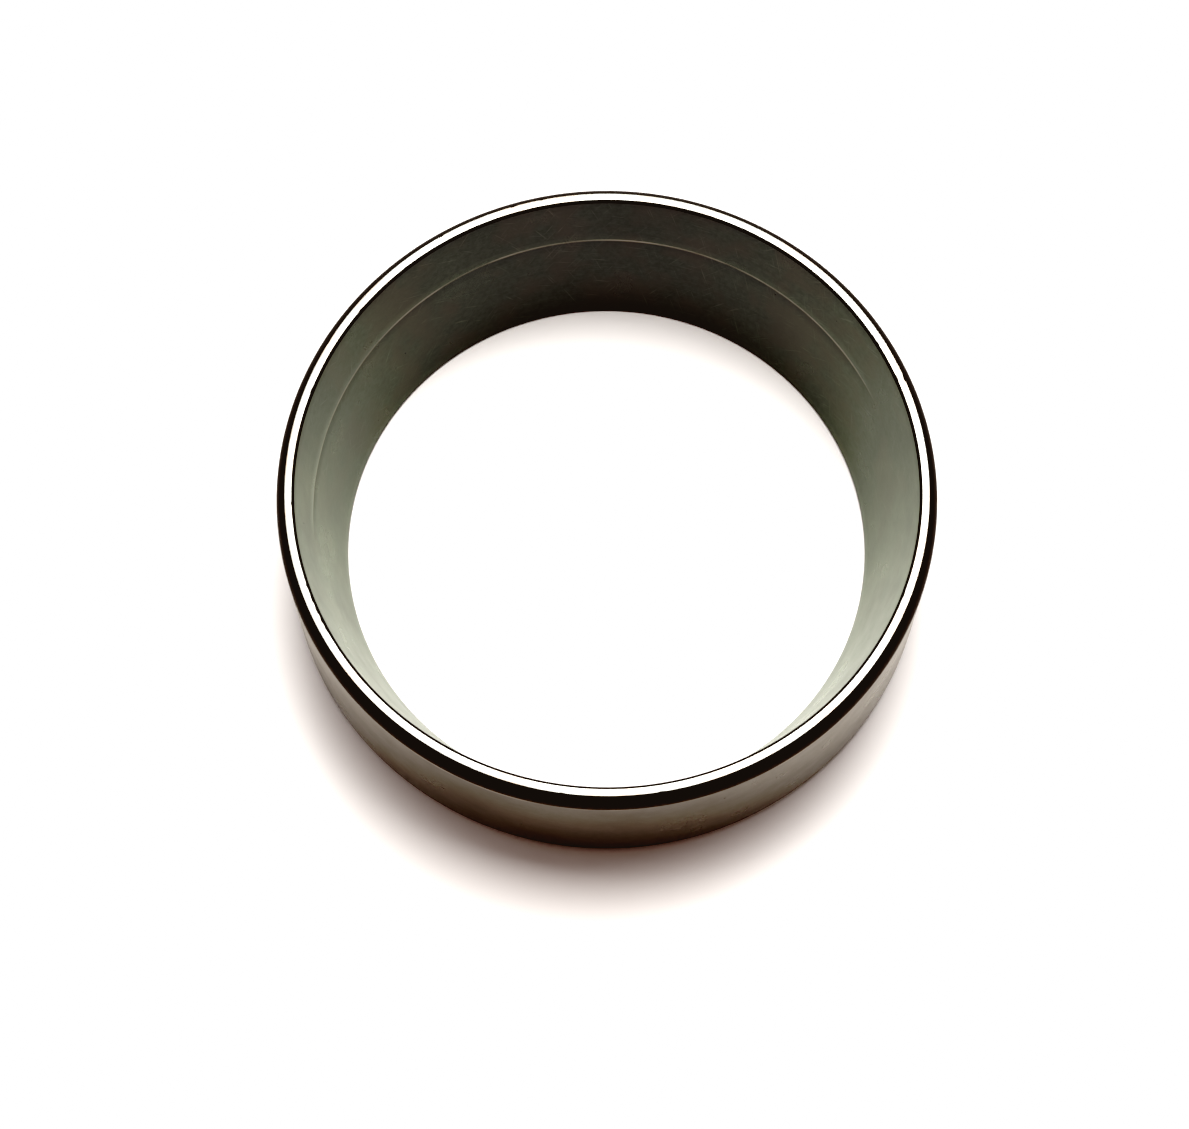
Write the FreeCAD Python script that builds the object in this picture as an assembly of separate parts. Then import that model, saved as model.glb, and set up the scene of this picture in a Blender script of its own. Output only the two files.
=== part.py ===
"""Outer ring (cup) of a single-row tapered roller bearing.

One solid of revolution about +Z, in millimetres. The wide back face lies on
z = 0, and the thin front face is uppermost, around the raceway's mouth.
"""

import FreeCAD
import Part

import math
import os

# ---- Driving dimensions (mm, and degrees for the slope) ----
OUTER_DIAMETER = 57.150         # ground outside diameter, the press-fit seat
WIDTH = 15.875                  # back face to front face
RACEWAY_HALF_ANGLE = 12.4       # slope of the raceway to the axis
RACEWAY_SMALL_DIAMETER = 46.95  # the raceway's cone at the back face
BACK_CORNER_RADIUS = 1.5        # rounded corner, outside diameter to back face
FRONT_CORNER_HEIGHT = 1.44      # rounded corner at the front face, along the axis
FRONT_CORNER_DEPTH = 0.75       # the same corner, across the front face
MOUTH_BREAK = 0.20              # rounded edge, raceway to front face
SMALL_END_BREAK = 0.30          # rounded edge, raceway to back face

NODE = "outer_ring"


def section_point(radius, height):
    """Return a point of the section, which is drawn in the XZ plane."""
    return FreeCAD.Vector(radius, 0.0, height)


def straight(start, end):
    """Return a straight edge of the section."""
    return Part.LineSegment(start, end).toShape()


def tangent_arc(start, tangent, end):
    """Return the arc that leaves start along the tangent and reaches end."""
    chord = end - start
    half_turn = chord.getAngle(tangent)
    across = tangent - chord * (tangent.dot(chord) / chord.dot(chord))
    across.normalize()
    rise = chord.Length / 2.0 * math.tan(half_turn / 2.0)
    middle = (start + end) * 0.5 + across * rise
    return Part.Arc(start, middle, end).toShape()


def ring_section():
    """Return the ring's section as a face, on the +X side of the axis."""
    outer = OUTER_DIAMETER / 2.0
    slope = math.radians(RACEWAY_HALF_ANGLE)
    down = FreeCAD.Vector(0.0, 0.0, -1.0)
    up = FreeCAD.Vector(0.0, 0.0, 1.0)
    up_raceway = FreeCAD.Vector(math.sin(slope), 0.0, math.cos(slope))

    def raceway_radius(height):
        """Return the raceway's radius at a height above the back face."""
        return RACEWAY_SMALL_DIAMETER / 2.0 + height * math.tan(slope)

    mouth_height = WIDTH - MOUTH_BREAK
    seat_bottom = section_point(outer, BACK_CORNER_RADIUS)
    seat_top = section_point(outer, WIDTH - FRONT_CORNER_HEIGHT)
    front_outer = section_point(outer - FRONT_CORNER_DEPTH, WIDTH)
    front_inner = section_point(raceway_radius(WIDTH) + MOUTH_BREAK, WIDTH)
    raceway_top = section_point(raceway_radius(mouth_height), mouth_height)
    raceway_bottom = section_point(raceway_radius(SMALL_END_BREAK), SMALL_END_BREAK)
    back_inner = section_point(raceway_radius(0.0) + SMALL_END_BREAK, 0.0)
    back_outer = section_point(outer - BACK_CORNER_RADIUS, 0.0)

    outline = [
        tangent_arc(seat_bottom, down, back_outer),
        straight(seat_bottom, seat_top),
        tangent_arc(seat_top, up, front_outer),
        straight(front_outer, front_inner),
        tangent_arc(raceway_top, up_raceway, front_inner),
        straight(raceway_top, raceway_bottom),
        tangent_arc(raceway_bottom, -up_raceway, back_inner),
        straight(back_inner, back_outer),
    ]
    return Part.Face(Part.Wire(Part.sortEdges(outline)[0]))


def outer_ring():
    """Return the ring, its section turned once about the axis."""
    origin = FreeCAD.Vector(0.0, 0.0, 0.0)
    axis = FreeCAD.Vector(0.0, 0.0, 1.0)
    return ring_section().revolve(origin, axis, 360.0)


os.makedirs("parts", exist_ok=True)
ring = outer_ring()
if ring.ShapeType != "Solid" or not ring.isValid():
    raise ValueError("the ring is not one valid solid")
ring.exportStep("parts/" + NODE + ".step")
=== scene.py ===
"""Outer ring of a tapered roller bearing on a pale floor, in soft light from behind.

Lengths are in metres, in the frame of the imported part: the ring's wide back face lies on
z = 0 and the bearing's axis is +Z. Sizes that a maker would read off a drawing are in
millimetres and are named so.
"""

import logging
import math
import random
from dataclasses import dataclass, field
from enum import Enum
from typing import Any

import bmesh
import bpy
from bpy.types import Material, Node, NodeSocket, NodeTree, Object
from mathutils import Matrix, Vector


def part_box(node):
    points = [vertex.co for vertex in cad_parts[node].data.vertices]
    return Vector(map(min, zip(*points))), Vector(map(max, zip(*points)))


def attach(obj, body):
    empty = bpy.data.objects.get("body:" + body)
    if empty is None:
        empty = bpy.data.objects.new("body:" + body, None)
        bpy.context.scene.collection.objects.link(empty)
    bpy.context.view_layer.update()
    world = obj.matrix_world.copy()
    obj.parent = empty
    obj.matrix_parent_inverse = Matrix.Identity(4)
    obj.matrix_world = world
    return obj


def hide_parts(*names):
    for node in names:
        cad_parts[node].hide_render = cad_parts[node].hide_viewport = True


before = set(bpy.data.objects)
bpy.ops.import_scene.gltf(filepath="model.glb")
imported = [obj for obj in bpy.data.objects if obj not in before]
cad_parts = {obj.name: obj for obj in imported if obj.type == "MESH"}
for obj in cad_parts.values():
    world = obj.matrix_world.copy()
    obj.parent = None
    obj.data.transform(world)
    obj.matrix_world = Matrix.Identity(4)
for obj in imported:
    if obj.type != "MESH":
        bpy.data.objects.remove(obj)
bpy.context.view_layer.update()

MM = 0.001
HAIR = 0.001 * MM         # two heights or radii nearer than this are the same
WELD = 0.0001 * MM        # two points of the section nearer than this are one
GRAIN_ROUGHNESS = 0.6     # how strongly the finer waves of every noise show
NODE = "outer_ring"
BODY = "root"

log = logging.getLogger("outer_ring")


# ---------------------------------------------------------------- small helpers


def linear(hex_colour: str) -> tuple[float, float, float, float]:
    """Turn an sRGB hex colour into the linear colour that shaders and lights take.

    Args:
        hex_colour: the colour, such as "#8A8A84".

    Returns:
        Red, green, blue and an alpha of 1.
    """
    digits = hex_colour.lstrip("#")
    channels = [int(digits[i:i + 2], 16) / 255.0 for i in (0, 2, 4)]
    red, green, blue = (
        c / 12.92 if c <= 0.04045 else ((c + 0.055) / 1.055) ** 2.4 for c in channels
    )
    return red, green, blue, 1.0


def add_node(tree: NodeTree, kind: str, inputs: dict[Any, Any] | None = None,
             **settings: Any) -> Node:
    """Add a shader node, set it up and link it.

    Args:
        tree: the material's or world's nodes.
        kind: the node's type, such as "ShaderNodeMath".
        inputs: for each input, by name or number, a socket to link or a value to set,
            where a colour may be given in hex.
        settings: the node's own properties.

    Returns:
        The new node.
    """
    node = tree.nodes.new(kind)
    for name, value in settings.items():
        setattr(node, name, value)
    for key, value in (inputs or {}).items():
        if isinstance(value, NodeSocket):
            tree.links.new(value, node.inputs[key])
        else:
            plain = linear(value) if isinstance(value, str) else value
            node.inputs[key].default_value = plain
    return node


def per_metre(spacing_mm: float) -> float:
    """Return how many times a pattern of this spacing repeats in a metre."""
    return 1.0 / (spacing_mm * MM)


# ---------------------------------------------------------------- finishes


class Zone(Enum):
    """The ring's differently finished surfaces, in the order of its material slots."""

    RACEWAY = 0
    FRONT_FACE = 1
    OUTSIDE = 2
    BACK_FACE = 3
    CORNERS = 4


class Lay(Enum):
    """How the grinding lines run over a surface, which is always round the axis."""

    ROUND_A_WALL = "a wall, whose lines are stacked along the axis"
    ROUND_A_FACE = "a flat face, whose lines are nested across it"


@dataclass(frozen=True)
class SurfaceMarks:
    """The patterns that a ground surface's colour, gloss and relief are made from."""

    lines: NodeSocket
    clouds: NodeSocket
    mottle: NodeSocket
    hairlines: NodeSocket
    pits: NodeSocket


# How the three sets of hairline scratches are turned, in degrees about X, Y and Z.
HAIRLINE_TURNS = ((0.0, 38.0, 10.0), (20.0, -52.0, 75.0), (0.0, 24.0, 130.0))


@dataclass(frozen=True)
class GroundSteel:
    """Through-hardened bearing steel, finished with a grinding wheel and handled since.

    It is metal with fine lines round the axis, which smear a reflection along the axis.
    An old film of oil dulls it to gunmetal in soft patches of warm brown and grey-green,
    and handling has left hairline scratches and a few small dark pits.
    """

    name: str
    lay: Lay
    bright: str = "#343534"
    dull: str = "#2D2E2D"
    film: str = "#363231"
    glancing: str = "#F0FBE0"
    scratch: str = "#8E8E86"
    pit: str = "#0C0B0A"
    film_amount: float = 0.8
    film_mm: float = 5.0
    oil: float = 0.5
    oil_roughness: float = 0.2
    roughness: float = 0.30
    roughness_spread: float = 0.08
    anisotropy: float = 0.7
    line_spacing_mm: float = 0.16    # real lines are finer, and would not show
    line_length_mm: float = 14.0
    mottle_mm: float = 0.5
    relief_mm: float = 0.002
    cloud_mm: float = 6.0
    hairline_width_mm: float = 0.11  # real scratches are finer, and would not show
    hairline_length_mm: float = 3.5
    hairline_amount: float = 0.07
    pit_spacing_mm: float = 2.6
    pit_size_mm: float = 0.13

    def material(self) -> Material:
        """Return the finish as a material.

        Returns:
            A new material, under the finish's own name.
        """
        material = bpy.data.materials.new(self.name)
        material.use_nodes = True
        tree = material.node_tree
        tree.nodes.clear()
        place = add_node(tree, "ShaderNodeTexCoord").outputs["Object"]
        marks = self.marks(tree, place)
        shader = self.shader(tree, marks, self.colour(tree, place, marks))
        add_node(tree, "ShaderNodeOutputMaterial", {"Surface": shader})
        return material

    def marks(self, tree: NodeTree, place: NodeSocket) -> SurfaceMarks:
        """Return the patterns that the surface's looks are made from.

        Args:
            tree: the material's nodes.
            place: object coordinates.

        Returns:
            A socket for each pattern.
        """
        lines = add_node(tree, "ShaderNodeTexNoise",
                         {"Vector": self.unrolled(tree, place), "Scale": 1.0, "Detail": 4.0,
                          "Roughness": GRAIN_ROUGHNESS})
        clouds = add_node(tree, "ShaderNodeTexNoise",
                          {"Vector": place, "Scale": per_metre(self.cloud_mm), "Detail": 3.0,
                           "Roughness": GRAIN_ROUGHNESS})
        mottle = add_node(tree, "ShaderNodeTexNoise",
                          {"Vector": place, "Scale": per_metre(self.mottle_mm),
                           "Detail": 4.0, "Roughness": GRAIN_ROUGHNESS})
        return SurfaceMarks(lines.outputs["Fac"], clouds.outputs["Fac"],
                            mottle.outputs["Fac"], self.hairlines(tree, place),
                            self.pits(tree, place))

    def unrolled(self, tree: NodeTree, place: NodeSocket) -> NodeSocket:
        """Return coordinates that are long round the axis and short across the lines.

        Args:
            tree: the material's nodes.
            place: object coordinates.

        Returns:
            The coordinates, scaled to the lines' own length and spacing.
        """
        along = per_metre(self.line_length_mm)
        across = per_metre(self.line_spacing_mm)
        if self.lay is Lay.ROUND_A_WALL:
            return add_node(tree, "ShaderNodeMapping",
                            {"Vector": place, "Scale": (along, along, across)}
                            ).outputs["Vector"]
        parts = add_node(tree, "ShaderNodeSeparateXYZ", {"Vector": place}).outputs
        flat = add_node(tree, "ShaderNodeCombineXYZ", {"X": parts["X"], "Y": parts["Y"]})
        radius = add_node(tree, "ShaderNodeVectorMath", {0: flat.outputs["Vector"]},
                          operation="LENGTH")
        nested = add_node(tree, "ShaderNodeCombineXYZ",
                          {"X": parts["X"], "Y": parts["Y"], "Z": radius.outputs["Value"]})
        return add_node(tree, "ShaderNodeMapping",
                        {"Vector": nested.outputs["Vector"],
                         "Scale": (along, along, across)}).outputs["Vector"]

    def hairlines(self, tree: NodeTree, place: NodeSocket) -> NodeSocket:
        """Return short scratches that cross the surface in three directions.

        Args:
            tree: the material's nodes.
            place: object coordinates.

        Returns:
            A mask, 1 on a scratch and 0 beside it.
        """
        size = tuple(mm * MM for mm in (self.hairline_width_mm, self.hairline_length_mm,
                                        self.hairline_length_mm))
        drawn: NodeSocket | float = 0.0
        for turn in HAIRLINE_TURNS:
            turned = add_node(tree, "ShaderNodeMapping",
                              {"Vector": place, "Rotation": tuple(map(math.radians, turn)),
                               "Scale": size}, vector_type="TEXTURE")
            sheets = add_node(tree, "ShaderNodeTexNoise",
                              {"Vector": turned.outputs["Vector"], "Scale": 1.0,
                               "Detail": 1.0, "Roughness": GRAIN_ROUGHNESS})
            thin = add_node(tree, "ShaderNodeMapRange",
                            {"Value": sheets.outputs["Fac"], "From Min": 0.68,
                             "From Max": 0.78})
            drawn = add_node(tree, "ShaderNodeMath", {0: drawn, 1: thin.outputs["Result"]},
                             operation="MAXIMUM").outputs[0]
        return drawn

    def pits(self, tree: NodeTree, place: NodeSocket) -> NodeSocket:
        """Return a few small round pits of different sizes.

        Args:
            tree: the material's nodes.
            place: object coordinates.

        Returns:
            A mask, 1 in a pit and 0 beside it.
        """
        share = self.pit_size_mm / self.pit_spacing_mm
        cells = add_node(tree, "ShaderNodeTexVoronoi",
                         {"Vector": place, "Scale": per_metre(self.pit_spacing_mm)})
        chance = add_node(tree, "ShaderNodeSeparateColor", {"Color": cells.outputs["Color"]})
        size = add_node(tree, "ShaderNodeMapRange",
                        {"Value": chance.outputs["Red"], "From Min": 0.5, "From Max": 1.0,
                         "To Max": share})
        inside = add_node(tree, "ShaderNodeMath",
                          {0: size.outputs["Result"], 1: cells.outputs["Distance"]},
                          operation="SUBTRACT")
        return add_node(tree, "ShaderNodeMapRange",
                        {"Value": inside.outputs[0], "From Max": 0.3 * share}
                        ).outputs["Result"]

    def colour(self, tree: NodeTree, place: NodeSocket, marks: SurfaceMarks) -> NodeSocket:
        """Return the metal's colour under its film, its scratches and its pits.

        Args:
            tree: the material's nodes.
            place: object coordinates.
            marks: the surface's patterns.

        Returns:
            The colour.
        """
        streaks = add_node(tree, "ShaderNodeMix",
                           {"Factor": 0.7, "A": marks.lines, "B": marks.mottle})
        sheen = add_node(tree, "ShaderNodeMapRange",
                         {"Value": streaks.outputs["Result"], "From Min": 0.38,
                          "From Max": 0.62})
        metal = add_node(tree, "ShaderNodeMix",
                         {"Factor": sheen.outputs["Result"], 6: self.dull, 7: self.bright},
                         data_type="RGBA")
        patches = add_node(tree, "ShaderNodeTexNoise",
                           {"Vector": place, "Scale": per_metre(self.film_mm),
                            "Detail": 2.0, "Roughness": GRAIN_ROUGHNESS})
        film = add_node(tree, "ShaderNodeMapRange",
                        {"Value": patches.outputs["Fac"], "From Min": 0.44,
                         "From Max": 0.60, "To Max": self.film_amount})
        filmed = add_node(tree, "ShaderNodeMix",
                          {"Factor": film.outputs["Result"], 6: metal.outputs[2],
                           7: self.film}, data_type="RGBA")
        faint = add_node(tree, "ShaderNodeMath",
                         {0: marks.hairlines, 1: self.hairline_amount}, operation="MULTIPLY")
        scratched = add_node(tree, "ShaderNodeMix",
                             {"Factor": faint.outputs[0], 6: filmed.outputs[2],
                              7: self.scratch}, data_type="RGBA")
        return add_node(tree, "ShaderNodeMix",
                        {"Factor": marks.pits, 6: scratched.outputs[2], 7: self.pit},
                        data_type="RGBA").outputs[2]

    def shader(self, tree: NodeTree, marks: SurfaceMarks, colour: NodeSocket) -> NodeSocket:
        """Return the finished shader.

        Args:
            tree: the material's nodes.
            marks: the surface's patterns.
            colour: the surface's colour.

        Returns:
            The shader, for the material's output.
        """
        half_spread = self.roughness_spread / 2.0
        gloss = add_node(tree, "ShaderNodeMapRange",
                         {"Value": marks.clouds, "From Min": 0.3, "From Max": 0.7,
                          "To Min": self.roughness - half_spread,
                          "To Max": self.roughness + half_spread})
        dulled = add_node(tree, "ShaderNodeMath",
                          {0: gloss.outputs["Result"], 1: marks.pits}, operation="MAXIMUM")
        relief = add_node(tree, "ShaderNodeMath", {0: marks.lines, 1: marks.mottle},
                          operation="ADD")
        bump = add_node(tree, "ShaderNodeBump",
                        {"Height": relief.outputs[0], "Strength": 1.0,
                         "Distance": self.relief_mm * MM})
        tangent = add_node(tree, "ShaderNodeTangent", direction_type="RADIAL", axis="Z")
        return add_node(tree, "ShaderNodeBsdfPrincipled",
                        {"Base Color": colour, "Metallic": 1.0,
                         "Roughness": dulled.outputs[0], "Specular Tint": self.glancing,
                         "Coat Weight": self.oil, "Coat Roughness": self.oil_roughness,
                         "Anisotropic": self.anisotropy, "Anisotropic Rotation": 0.25,
                         "Normal": bump.outputs["Normal"],
                         "Tangent": tangent.outputs["Tangent"]}).outputs["BSDF"]


# The rollers' ends have run at this height, over the loaded part of the raceway. There
# is no wear where y - slant * x is under the first distance, and all of it over the second.
WITNESS_HEIGHT_MM = 10.5
LOADED_SLANT = 0.27
LOADED_FROM_MM, LOADED_TO_MM = 3.5, 7.5


@dataclass(frozen=True)
class HonedRaceway(GroundSteel):
    """Ground and honed steel, with a fine pale line worn into it by a set of rollers."""

    witness_width_mm: float = 0.30
    witness: str = "#7A7268"

    def colour(self, tree: NodeTree, place: NodeSocket, marks: SurfaceMarks) -> NodeSocket:
        """Return the metal's colour, with the pale line laid over it.

        Args:
            tree: the material's nodes.
            place: object coordinates.
            marks: the surface's patterns.

        Returns:
            The colour.
        """
        metal = super().colour(tree, place, marks)
        half = self.witness_width_mm * MM / 2.0
        parts = add_node(tree, "ShaderNodeSeparateXYZ", {"Vector": place}).outputs
        offset = add_node(tree, "ShaderNodeMath",
                          {0: parts["Z"], 1: WITNESS_HEIGHT_MM * MM}, operation="SUBTRACT")
        away = add_node(tree, "ShaderNodeMath", {0: offset.outputs[0]},
                        operation="ABSOLUTE")
        on_line = add_node(tree, "ShaderNodeMapRange",
                           {"Value": away.outputs[0], "From Min": 0.0, "From Max": half,
                            "To Min": 1.0, "To Max": 0.0})
        towards_load = add_node(tree, "ShaderNodeMath",
                                {0: parts["X"], 1: -LOADED_SLANT, 2: parts["Y"]},
                                operation="MULTIPLY_ADD")
        loaded = add_node(tree, "ShaderNodeMapRange",
                          {"Value": towards_load.outputs[0],
                           "From Min": LOADED_FROM_MM * MM, "From Max": LOADED_TO_MM * MM})
        wear = add_node(tree, "ShaderNodeMapRange",
                        {"Value": marks.clouds, "From Min": 0.35, "From Max": 0.6,
                         "To Min": 0.35, "To Max": 1.0})
        worn = add_node(tree, "ShaderNodeMath",
                        {0: on_line.outputs["Result"], 1: wear.outputs["Result"]},
                        operation="MULTIPLY")
        shown = add_node(tree, "ShaderNodeMath",
                         {0: worn.outputs[0], 1: loaded.outputs["Result"]},
                         operation="MULTIPLY")
        return add_node(tree, "ShaderNodeMix",
                        {"Factor": shown.outputs[0], 6: metal, 7: self.witness},
                        data_type="RGBA").outputs[2]


@dataclass(frozen=True)
class HandledOutside(GroundSteel):
    """The ground outside, smudged by hands, with painted shade at its left front and a
    painted highlight along its upper edge in places.
    """

    edge_height_mm: float = 14.435   # where the outside ends and the front corner starts
    edge_width_mm: float = 0.40      # the painted edge highlight's width; the real edge that catches the light is finer, and would not show
    # Painted highlight: the pale colour laid along the upper edge, standing in for the light
    # its fine rounding would catch.
    edge: str = "#7C746A"
    smudge: str = "#302A26"
    smudge_mm: float = 5.5
    smudge_amount: float = 0.45
    # Painted shade: a dark patch at the outside's left front, standing in for the steel's
    # reflection of the table's shadow.
    shadow_reflection_azimuth: float = -117.0
    shadow_reflection_height_mm: float = 10.5
    shadow_reflection_reach_mm: float = 7.5
    shadow_reflection_colour: str = "#1C1815"

    def colour(self, tree: NodeTree, place: NodeSocket, marks: SurfaceMarks) -> NodeSocket:
        """Return the metal's colour, with smudges, a painted shadow reflection and a painted
        edge highlight laid over it.

        Args:
            tree: the material's nodes.
            place: object coordinates.
            marks: the surface's patterns.

        Returns:
            The colour.
        """
        metal = super().colour(tree, place, marks)
        flattened = add_node(tree, "ShaderNodeMapping",
                             {"Vector": place, "Scale": (1.0, 1.0, 1.8)})
        thumbs = add_node(tree, "ShaderNodeTexNoise",
                          {"Vector": flattened.outputs["Vector"],
                           "Scale": per_metre(self.smudge_mm), "Detail": 2.0,
                           "Roughness": GRAIN_ROUGHNESS})
        grime = add_node(tree, "ShaderNodeMapRange",
                         {"Value": thumbs.outputs["Fac"], "From Min": 0.52,
                          "From Max": 0.68, "To Max": self.smudge_amount})
        smudged = add_node(tree, "ShaderNodeMix",
                           {"Factor": grime.outputs["Result"], 6: metal, 7: self.smudge},
                           data_type="RGBA")
        # Lay the painted shadow reflection over the smudged metal.
        with_shadow_reflection = add_node(tree, "ShaderNodeMix",
                           {"Factor": self.painted_shadow_reflection(tree, place, thumbs.outputs["Fac"]),
                            6: smudged.outputs[2], 7: self.shadow_reflection_colour}, data_type="RGBA")
        # The upper edge gets a painted highlight in patches, in place of the light its fine
        # rounding would catch.
        height = add_node(tree, "ShaderNodeSeparateXYZ", {"Vector": place}).outputs["Z"]
        below = add_node(tree, "ShaderNodeMath", {0: self.edge_height_mm * MM, 1: height},
                         operation="SUBTRACT")
        at_edge = add_node(tree, "ShaderNodeMapRange",
                           {"Value": below.outputs[0],
                            "From Min": self.edge_width_mm * MM * 0.4,
                            "From Max": self.edge_width_mm * MM,
                            "To Min": 1.0, "To Max": 0.0})
        highlight_patches = add_node(tree, "ShaderNodeMapRange",
                           {"Value": marks.clouds, "From Min": 0.42, "From Max": 0.58})
        painted_edge_highlight = add_node(tree, "ShaderNodeMath",
                          {0: at_edge.outputs["Result"], 1: highlight_patches.outputs["Result"]},
                          operation="MULTIPLY")
        return add_node(tree, "ShaderNodeMix",
                        {"Factor": painted_edge_highlight.outputs[0], 6: with_shadow_reflection.outputs[2],
                         7: self.edge}, data_type="RGBA").outputs[2]

    def painted_shadow_reflection(self, tree: NodeTree, place: NodeSocket, thumbs: NodeSocket) -> NodeSocket:
        """Return the broad painted shade at the outside's left front, in place of its
        reflection of the table's shadow.

        Args:
            tree: the material's nodes.
            place: object coordinates.
            thumbs: the smudges' soft pattern, which breaks the mark's edge.

        Returns:
            How strong the mark is, 0.9 in its middle and 0 beyond its edge.
        """
        azimuth = math.radians(self.shadow_reflection_azimuth)
        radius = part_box(NODE)[1].x
        middle = (radius * math.cos(azimuth), radius * math.sin(azimuth),
                  self.shadow_reflection_height_mm * MM)
        away = add_node(tree, "ShaderNodeVectorMath", {0: place, 1: middle},
                        operation="DISTANCE")
        uneven = add_node(tree, "ShaderNodeMath",
                          {0: thumbs, 1: self.shadow_reflection_reach_mm * MM,
                           2: away.outputs["Value"]}, operation="MULTIPLY_ADD")
        return add_node(tree, "ShaderNodeMapRange",
                        {"Value": uneven.outputs[0],
                         "From Min": self.shadow_reflection_reach_mm * MM * 0.7,
                         "From Max": self.shadow_reflection_reach_mm * MM * 1.6,
                         "To Min": 0.9, "To Max": 0.0}, interpolation_type="SMOOTHSTEP"
                        ).outputs["Result"]


@dataclass(frozen=True)
class HardenedScale:
    """Bearing steel as it leaves the quench, black and matt.

    No wheel has touched it, so it has the mottled brown-black of the oxide and no lines.
    The scale is thinner and browner where it meets the ground outside.
    """

    name: str
    dark: str = "#24201B"
    brown: str = "#4C4238"
    roughness: float = 0.62
    specular: float = 0.10
    grain_mm: float = 0.35
    grain_depth_mm: float = 0.006
    seat_middle_mm: float = 7.97     # the ground outside's middle height
    seat_half_mm: float = 6.47       # and half its width
    thin_mm: float = 1.1             # how far past it the scale is thinner

    def material(self) -> Material:
        """Return the finish as a material.

        Returns:
            A new material, under the finish's own name.
        """
        material = bpy.data.materials.new(self.name)
        material.use_nodes = True
        tree = material.node_tree
        tree.nodes.clear()
        place = add_node(tree, "ShaderNodeTexCoord").outputs["Object"]
        grain = add_node(tree, "ShaderNodeTexNoise",
                         {"Vector": place, "Scale": per_metre(self.grain_mm), "Detail": 3.0,
                          "Roughness": GRAIN_ROUGHNESS})
        bump = add_node(tree, "ShaderNodeBump",
                        {"Height": grain.outputs["Fac"], "Strength": 1.0,
                         "Distance": self.grain_depth_mm * MM})
        shader = add_node(tree, "ShaderNodeBsdfPrincipled",
                          {"Base Color": self.colour(tree, place, grain.outputs["Fac"]),
                           "Metallic": 0.0, "Roughness": self.roughness,
                           "Specular IOR Level": self.specular,
                           "Normal": bump.outputs["Normal"]})
        add_node(tree, "ShaderNodeOutputMaterial", {"Surface": shader.outputs["BSDF"]})
        return material

    def colour(self, tree: NodeTree, place: NodeSocket, grain: NodeSocket) -> NodeSocket:
        """Return the scale's colour, browner towards the ground outside.

        Args:
            tree: the material's nodes.
            place: object coordinates.
            grain: the oxide's fine pattern.

        Returns:
            The colour.
        """
        height = add_node(tree, "ShaderNodeSeparateXYZ", {"Vector": place}).outputs["Z"]
        offset = add_node(tree, "ShaderNodeMath", {0: height, 1: self.seat_middle_mm * MM},
                          operation="SUBTRACT")
        away = add_node(tree, "ShaderNodeMath", {0: offset.outputs[0]},
                        operation="ABSOLUTE")
        thin = add_node(tree, "ShaderNodeMapRange",
                        {"Value": away.outputs[0], "From Min": self.seat_half_mm * MM,
                         "From Max": (self.seat_half_mm + self.thin_mm) * MM,
                         "To Min": 1.0, "To Max": 0.0})
        broken = add_node(tree, "ShaderNodeMapRange",
                          {"Value": grain, "From Min": 0.3, "From Max": 0.65,
                           "To Min": 0.3, "To Max": 1.0})
        worn = add_node(tree, "ShaderNodeMath",
                        {0: thin.outputs["Result"], 1: broken.outputs["Result"]},
                        operation="MULTIPLY")
        return add_node(tree, "ShaderNodeMix",
                        {"Factor": worn.outputs[0], 6: self.dark, 7: self.brown},
                        data_type="RGBA").outputs[2]


FINISHES: dict[Zone, GroundSteel | HardenedScale] = {
    Zone.RACEWAY: HonedRaceway("honed_raceway_steel", Lay.ROUND_A_WALL),
    Zone.FRONT_FACE: GroundSteel("ground_front_face_steel", Lay.ROUND_A_FACE,
                                 bright="#7E7E78", dull="#6E6E69", film="#756B60"),
    Zone.OUTSIDE: HandledOutside("ground_outside_steel", Lay.ROUND_A_WALL,
                                 bright="#4B4946", dull="#413F3C", film="#423E39",
                                 glancing="#FAF4E4"),
    Zone.BACK_FACE: GroundSteel("ground_back_face_steel", Lay.ROUND_A_FACE,
                                bright="#7E7E78", dull="#6E6E69", film="#756B60"),
    Zone.CORNERS: HardenedScale("black_hardening_scale"),
}


# ---------------------------------------------------------------- the ring


class SectionPen:
    """Draws one closed section in the XZ plane, edge by edge."""

    def __init__(self, start: Vector) -> None:
        """Set the pen down.

        Args:
            start: the section's first point.
        """
        self.mesh = bmesh.new()
        self.first = bmesh.ops.create_vert(self.mesh, co=start)["vert"][0]
        self.tip = self.first

    def line_to(self, end: Vector, steps: int = 1) -> None:
        """Draw a straight stretch to a point.

        Args:
            end: the point.
            steps: how many equal edges the stretch is made of.
        """
        stride = (end - self.tip.co) / steps
        for _ in range(steps):
            drawn = bmesh.ops.extrude_vert_indiv(self.mesh, verts=[self.tip])
            self.tip = drawn["verts"][0]
            bmesh.ops.translate(self.mesh, verts=[self.tip], vec=stride)

    def arc_to(self, end: Vector, tangent: Vector, steps: int) -> None:
        """Draw an arc that leaves the last point along a tangent.

        Args:
            end: where the arc ends.
            tangent: the direction in which it starts.
            steps: how many edges it is made of.
        """
        start = self.tip.co.copy()
        chord = end - start
        across = (chord - tangent * chord.dot(tangent)).normalized()
        radius = chord.length_squared / (2.0 * chord.dot(across))
        drawn = bmesh.ops.spin(
            self.mesh, geom=[self.tip], cent=start + across * radius,
            axis=tangent.cross(across), angle=2.0 * chord.angle(tangent), steps=steps,
            use_merge=False, use_normal_flip=False, use_duplicate=False,
        )
        self.tip = [g for g in drawn["geom_last"] if isinstance(g, bmesh.types.BMVert)][0]

    def close(self) -> bmesh.types.BMesh:
        """Join the last point to the first, and return the section."""
        bmesh.ops.contextual_create(self.mesh, geom=[self.tip, self.first])
        return self.mesh


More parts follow.
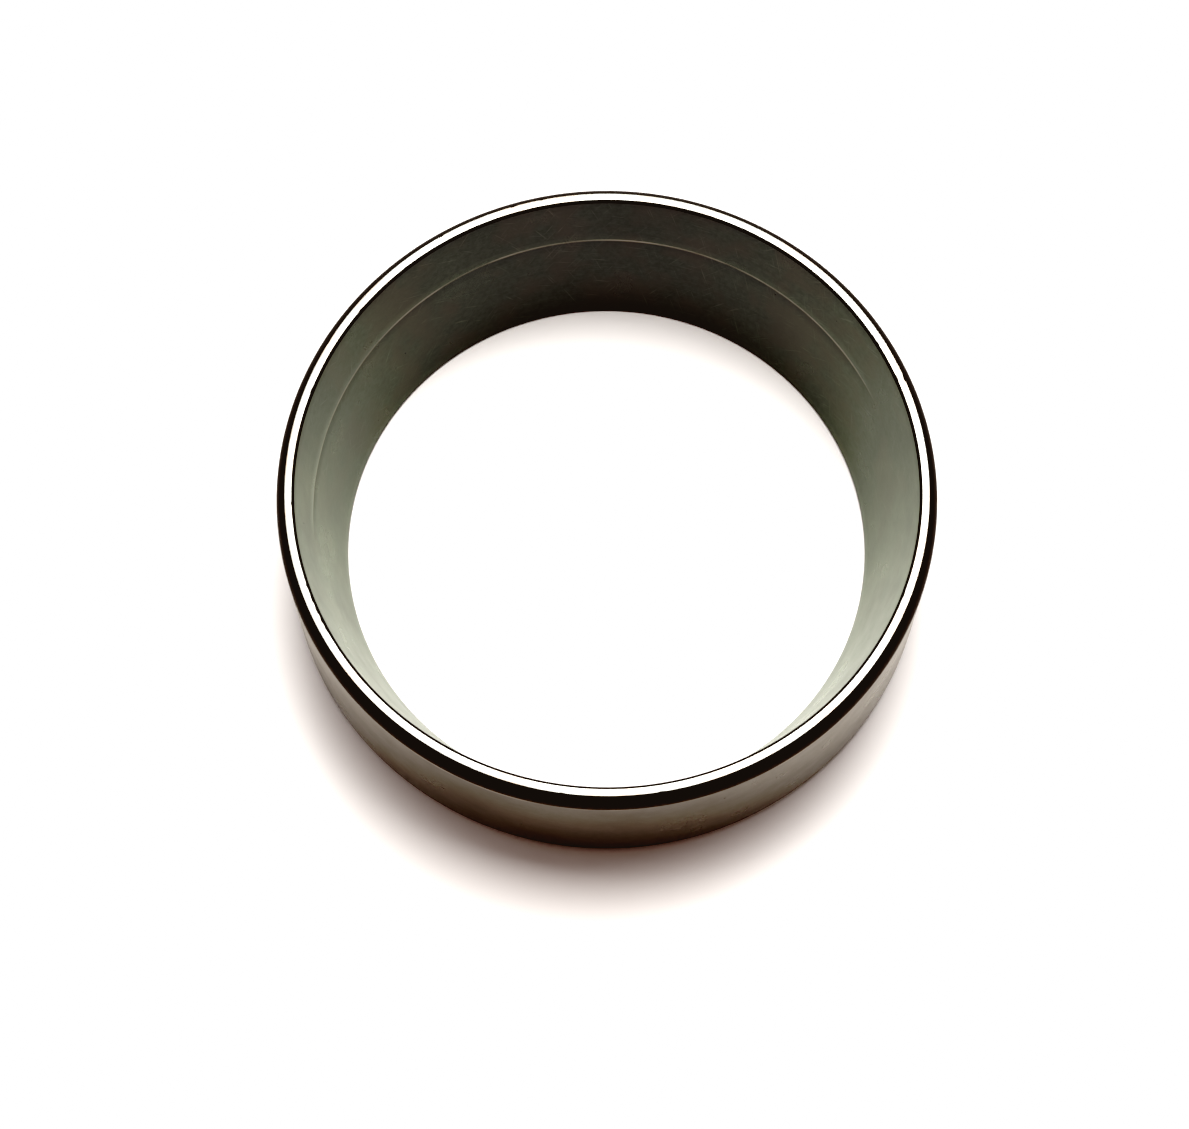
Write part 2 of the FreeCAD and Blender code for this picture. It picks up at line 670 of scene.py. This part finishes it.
@dataclass
class OuterRing:
    """The bearing's outer ring, one piece of steel turned about the bearing's axis.

    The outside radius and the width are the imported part's own. The raceway, the corners
    and the breaks at the mouth and the small end are the drawing's. The face's edge break,
    the groove and the nicks are finer than the drawing goes and are on this piece alone.
    """

    raceway_half_angle: float = 12.4
    raceway_small_diameter_mm: float = 46.95
    back_corner_radius_mm: float = 1.5
    front_corner_height_mm: float = 1.44
    front_corner_depth_mm: float = 0.75
    face_edge_break_mm: float = 0.08
    face_edge_drop_mm: float = 0.02
    mouth_break_mm: float = 0.20
    small_end_break_mm: float = 0.30
    groove_width_mm: float = 0.16
    groove_depth_mm: float = 0.008
    groove_floor: float = 0.4        # its flat bottom's share of its width
    groove_steps: int = 6
    nick_count: int = 26
    nick_width_mm: float = 0.45
    nick_depth_mm: float = 0.09
    nick_slant: float = -0.3
    nick_seed: int = 7
    turns: int = 600
    arc_steps: int = 14
    break_steps: int = 7
    outside_steps: int = 12
    front_face_steps: int = 3
    upper_raceway_steps: int = 6
    lower_raceway_steps: int = 10
    back_face_steps: int = 4
    sharp_angle: float = 20.0
    wall_slack_mm: float = 0.032     # a patch this near the raceway's cone is on it
    outer: float = field(init=False)
    width: float = field(init=False)

    def __post_init__(self) -> None:
        """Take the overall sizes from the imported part."""
        low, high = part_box(NODE)
        self.outer = min(-low.x, high.x, -low.y, high.y)
        self.width = high.z - low.z

    def raceway_radius(self, height: float) -> float:
        """Return the raceway's radius at a height above the back face."""
        slope = math.tan(math.radians(self.raceway_half_angle))
        return self.raceway_small_diameter_mm * MM / 2.0 + height * slope

    def section(self) -> bmesh.types.BMesh:
        """Return the ring's section, drawn once round from the foot of the outside.

        Returns:
            A closed loop of edges in the XZ plane.
        """
        back_corner = self.back_corner_radius_mm * MM
        corner_height = self.front_corner_height_mm * MM
        corner_depth = self.front_corner_depth_mm * MM
        mouth = self.mouth_break_mm * MM
        small_end = self.small_end_break_mm * MM
        raceway_top = self.on_raceway(self.width - mouth)

        pen = SectionPen(Vector((self.outer - back_corner, 0.0, 0.0)))
        pen.arc_to(Vector((self.outer, 0.0, back_corner)), Vector((1.0, 0.0, 0.0)),
                   self.arc_steps)
        pen.line_to(Vector((self.outer, 0.0, self.width - corner_height)),
                    self.outside_steps)
        pen.arc_to(Vector((self.outer - corner_depth, 0.0,
                           self.width - self.face_edge_drop_mm * MM)),
                   Vector((0.0, 0.0, 1.0)), self.arc_steps)
        pen.line_to(Vector((self.face_outer_radius(), 0.0, self.width)))
        pen.line_to(self.mouth_edge(), self.front_face_steps)
        pen.arc_to(raceway_top, self.mouth_tangent(raceway_top), self.break_steps)
        self.draw_groove(pen)
        pen.line_to(self.on_raceway(small_end), self.lower_raceway_steps)
        pen.arc_to(Vector((self.raceway_radius(0.0) + small_end, 0.0, 0.0)),
                   self.down_raceway(), self.break_steps)
        pen.line_to(Vector((self.outer - back_corner, 0.0, 0.0)), self.back_face_steps)
        return pen.close()

    def face_outer_radius(self) -> float:
        """Return where the front face ends, inside its lightly broken outer edge."""
        return self.outer - (self.front_corner_depth_mm + self.face_edge_break_mm) * MM

    def on_raceway(self, height: float) -> Vector:
        """Return the section's point on the raceway at a height."""
        return Vector((self.raceway_radius(height), 0.0, height))

    def down_raceway(self) -> Vector:
        """Return the direction in which the section runs down the raceway."""
        slope = math.radians(self.raceway_half_angle)
        return Vector((-math.sin(slope), 0.0, -math.cos(slope)))

    def mouth_edge(self) -> Vector:
        """Return the section's point where the front face meets the mouth's edge."""
        return Vector((self.raceway_radius(self.width) + self.mouth_break_mm * MM, 0.0,
                       self.width))

    def mouth_tangent(self, raceway_top: Vector) -> Vector:
        """Return how the mouth's rounded edge leaves the front face.

        The edge is an arc that ends in line with the raceway, so its start is that end
        mirrored across the arc's chord.

        Args:
            raceway_top: where the arc meets the raceway.

        Returns:
            The direction, of length 1.
        """
        ending = self.down_raceway()
        chord = (raceway_top - self.mouth_edge()).normalized()
        return (2.0 * chord * chord.dot(ending) - ending).normalized()

    def draw_groove(self, pen: SectionPen) -> None:
        """Draw the raceway down to and over the band where its witness groove will be.

        Args:
            pen: the pen, standing at the raceway's top.
        """
        middle = WITNESS_HEIGHT_MM * MM
        half = self.groove_width_mm * MM / 2.0
        pen.line_to(self.on_raceway(middle + half), self.upper_raceway_steps)
        for share in (self.groove_floor, -self.groove_floor, -1.0):
            pen.line_to(self.on_raceway(middle + half * share))

    def press_groove(self, mesh: bmesh.types.BMesh) -> None:
        """Press the rollers' shallow witness groove into the raceway's loaded part.

        The groove gets deeper in equal steps, and each step takes a shorter part of it.

        Args:
            mesh: the turned ring.
        """
        middle = WITNESS_HEIGHT_MM * MM
        half = self.groove_width_mm * MM / 2.0
        radius = self.raceway_radius(middle)
        stretch = 1.0 + self.groove_depth_mm * MM / self.groove_steps / radius
        floor = self.groove_floor * half + HAIR
        bottom = [v for v in mesh.verts
                  if abs(v.co.z - middle) < floor and v.co.xy.length < radius + half]
        for step in range(self.groove_steps):
            share = (step + 0.5) / self.groove_steps
            edge = (LOADED_FROM_MM + share * (LOADED_TO_MM - LOADED_FROM_MM)) * MM
            loaded = [v for v in bottom if v.co.y - LOADED_SLANT * v.co.x > edge]
            bmesh.ops.scale(mesh, verts=loaded, vec=(stretch, stretch, 1.0))

    def nick_edges(self, mesh: bmesh.types.BMesh) -> None:
        """Dent the two edges of the front face where the ring has been knocked.

        A nick pushes an edge a little way into the face and down, over a stretch of a
        few steps of the ring's turns.

        Args:
            mesh: the turned ring.
        """
        draw = random.Random(self.nick_seed)
        inner = self.mouth_edge().x
        outer = self.face_outer_radius()
        edges = {
            radius: [v for v in mesh.verts if abs(v.co.z - self.width) < HAIR
                     and abs(v.co.xy.length - radius) < HAIR]
            for radius in (inner, outer)
        }
        for _ in range(self.nick_count):
            edge, inwards = draw.choice(((inner, 1.0), (outer, -1.0)))
            angle = draw.uniform(0.0, math.tau)
            width = self.nick_width_mm * MM * draw.uniform(0.5, 1.0)
            depth = self.nick_depth_mm * MM * draw.uniform(0.3, 1.0)
            middle = Vector((math.cos(angle), math.sin(angle), 0.0)) * edge
            middle.z = self.width
            for vert in edges[edge]:
                share = 1.0 - (vert.co - middle).length / width
                if share > 0.0:
                    push = vert.co.xy.normalized().to_3d() * inwards
                    push.z = self.nick_slant
                    bmesh.ops.translate(mesh, verts=[vert], vec=push * depth * share)

    def zone_of(self, centre: Vector) -> Zone:
        """Return the finish of a small patch of the ring.

        Args:
            centre: the middle of the patch.

        Returns:
            The zone whose finish it has.
        """
        radius = math.hypot(centre.x, centre.y)
        seat_bottom = self.back_corner_radius_mm * MM
        seat_top = self.width - self.front_corner_height_mm * MM
        raceway_top = self.width - self.mouth_break_mm * MM
        if centre.z > self.width - HAIR:
            return Zone.FRONT_FACE
        if centre.z < HAIR:
            return Zone.BACK_FACE
        if radius < self.raceway_radius(centre.z) + self.wall_slack_mm * MM:
            on_wall = self.small_end_break_mm * MM < centre.z < raceway_top
            return Zone.RACEWAY if on_wall else Zone.CORNERS
        return Zone.OUTSIDE if seat_bottom < centre.z < seat_top else Zone.CORNERS

    def build(self) -> Object:
        """Turn the section into the finished ring and put it on its body.

        Returns:
            The ring's object, at the origin.
        """
        mesh = self.section()
        bmesh.ops.remove_doubles(mesh, verts=mesh.verts, dist=WELD)
        bmesh.ops.spin(mesh, geom=mesh.verts[:] + mesh.edges[:], cent=(0.0, 0.0, 0.0),
                       axis=(0.0, 0.0, 1.0), angle=math.tau, steps=self.turns,
                       use_merge=True, use_normal_flip=False, use_duplicate=False)
        bmesh.ops.recalc_face_normals(mesh, faces=mesh.faces)
        for face in mesh.faces:
            face.smooth = True
            face.material_index = self.zone_of(face.calc_center_median()).value
        self.press_groove(mesh)
        self.nick_edges(mesh)
        data = bpy.data.meshes.new("bearing_ring")
        mesh.to_mesh(data)
        mesh.free()
        data.set_sharp_from_angle(angle=math.radians(self.sharp_angle))
        for zone in Zone:
            data.materials.append(FINISHES[zone].material())
        ring = bpy.data.objects.new("bearing_ring", data)
        bpy.context.scene.collection.objects.link(ring)
        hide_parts(NODE)
        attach(ring, BODY)
        return ring


# ---------------------------------------------------------------- floor, light, camera


@dataclass
class Studio:
    """A pale table in a room that is bright behind the ring and dark before it."""

    table_size: float = 4.0
    table_gap_mm: float = 0.01
    table_colour: str = "#F1EFEC"
    table_roughness: float = 0.9
    key_power: float = 7.0
    key_size: float = 0.45
    key_distance: float = 0.9
    key_azimuth: float = 78.0
    key_elevation: float = 72.0
    key_colour: str = "#FFFFFF"
    room_colour: str = "#FFFFFF"
    shade_colour: str = "#FFDACB"
    shade_strength: float = 0.10
    low_strength: float = 0.6
    black_level: tuple[float, float, float] = (0.024, 0.024, 0.022)
    white_level: float = 0.60
    veil: tuple[float, float, float] = (0.0062, 0.0040, 0.0028)
    toe: tuple[tuple[float, float], ...] = ((0.036, 0.0062), (0.129, 0.094))
    camera_distance_mm: float = 262.0
    camera_elevation: float = 70.09
    camera_roll: float = 0.231
    camera_aim_mm: tuple[float, float, float] = (-1.0745, -1.7592, 0.0)
    lens: float = 86.92

    def build(self) -> None:
        """Make the table, the lights and the camera."""
        self.table()
        self.room()
        self.key_light()
        self.camera()
        self.picture()

    def table(self) -> None:
        """Make the table top, a hair under the ring."""
        mesh = bmesh.new()
        bmesh.ops.create_grid(mesh, x_segments=1, y_segments=1, size=self.table_size / 2.0)
        bmesh.ops.translate(mesh, verts=mesh.verts, vec=(0.0, 0.0, -self.table_gap_mm * MM))
        data = bpy.data.meshes.new("table")
        mesh.to_mesh(data)
        mesh.free()
        table = bpy.data.objects.new("table", data)
        bpy.context.scene.collection.objects.link(table)
        material = bpy.data.materials.new("matt_white_board")
        material.use_nodes = True
        shader = material.node_tree.nodes["Principled BSDF"]
        shader.inputs["Base Color"].default_value = linear(self.table_colour)
        shader.inputs["Roughness"].default_value = self.table_roughness
        data.materials.append(material)

    def room(self) -> None:
        """Light the room: bright behind the ring, dark before it, with a low glow all round.

        The camera itself sees plain white where it looks past the table.
        """
        world = bpy.data.worlds.new("room")
        world.use_nodes = True
        tree = world.node_tree
        tree.nodes.clear()
        direction = add_node(tree, "ShaderNodeTexCoord").outputs["Generated"]
        parts = add_node(tree, "ShaderNodeSeparateXYZ", {"Vector": direction})
        behind = add_node(tree, "ShaderNodeMapRange",
                          {"Value": parts.outputs["Y"], "From Min": -0.5, "From Max": 0.7,
                           "To Min": self.shade_strength, "To Max": 1.0},
                          interpolation_type="SMOOTHSTEP")
        low = add_node(tree, "ShaderNodeMapRange",
                       {"Value": parts.outputs["Z"], "From Min": 0.0, "From Max": 0.5,
                        "To Min": self.low_strength, "To Max": 0.0})
        strength = add_node(tree, "ShaderNodeMath",
                            {0: behind.outputs["Result"], 1: low.outputs["Result"]},
                            operation="MAXIMUM").outputs[0]
        tint = add_node(tree, "ShaderNodeMix",
                        {"Factor": behind.outputs["Result"], 6: self.shade_colour,
                         7: self.room_colour}, data_type="RGBA").outputs[2]
        light = add_node(tree, "ShaderNodeBackground",
                         {"Color": tint, "Strength": strength})
        seen = add_node(tree, "ShaderNodeBackground",
                        {"Color": self.room_colour, "Strength": 1.0})
        by_camera = add_node(tree, "ShaderNodeLightPath").outputs["Is Camera Ray"]
        mix = add_node(tree, "ShaderNodeMixShader",
                       {"Fac": by_camera, 1: light.outputs["Background"],
                        2: seen.outputs["Background"]})
        add_node(tree, "ShaderNodeOutputWorld", {"Surface": mix.outputs["Shader"]})
        bpy.context.scene.world = world

    def key_light(self) -> None:
        """Hang a soft box high behind the ring, a little to the right."""
        data = bpy.data.lights.new("soft_box", "AREA")
        data.energy = self.key_power
        data.size = self.key_size
        data.color = linear(self.key_colour)[:3]
        azimuth, elevation = math.radians(self.key_azimuth), math.radians(self.key_elevation)
        towards = Vector((math.cos(azimuth) * math.cos(elevation),
                          math.sin(azimuth) * math.cos(elevation), math.sin(elevation)))
        light = bpy.data.objects.new("soft_box", data)
        light.location = towards * self.key_distance
        light.rotation_euler = towards.to_track_quat("Z", "Y").to_euler()
        bpy.context.scene.collection.objects.link(light)

    def camera(self) -> None:
        """Stand the camera before the ring, looking steeply down at it."""
        distance = self.camera_distance_mm * MM
        elevation = math.radians(self.camera_elevation)
        aim = Vector(self.camera_aim_mm) * MM
        place = Vector((0.0, -math.cos(elevation), math.sin(elevation))) * distance
        sight = aim - place
        data = bpy.data.cameras.new("camera")
        data.lens = self.lens
        data.sensor_width = 36.0
        data.clip_start = 0.01
        camera = bpy.data.objects.new("camera", data)
        level = sight.to_track_quat("-Z", "Y").to_matrix()
        roll = Matrix.Rotation(math.radians(self.camera_roll), 3, sight.normalized())
        camera.matrix_world = (Matrix.Translation(place) @ (roll @ level).to_4x4())
        bpy.context.scene.collection.objects.link(camera)
        bpy.context.scene.camera = camera

    def picture(self) -> None:
        """Set a hard, contrasty print: near-whites go white and near-blacks warm black.

        Each colour's curve starts at its veil, stays low along the toe and then runs
        straight to white.
        """
        view = bpy.context.scene.view_settings
        view.view_transform = "Standard"
        view.use_curve_mapping = True
        view.curve_mapping.black_level = self.black_level
        view.curve_mapping.white_level = [self.white_level] * 3
        view.curve_mapping.extend = "HORIZONTAL"
        for curve, lift in zip(view.curve_mapping.curves, self.veil):
            curve.points[0].location = (0.0, lift)
            for level, output in self.toe:
                curve.points.new(level, output + lift * (1.0 - level))
        view.curve_mapping.update()


def main() -> None:
    """Build the ring and its surroundings."""
    logging.basicConfig(level=logging.INFO, format="%(name)s: %(message)s")
    ring = OuterRing().build()
    log.info("%s: %d faces", ring.name, len(ring.data.polygons))
    Studio().build()


if __name__ == "__main__":
    main()
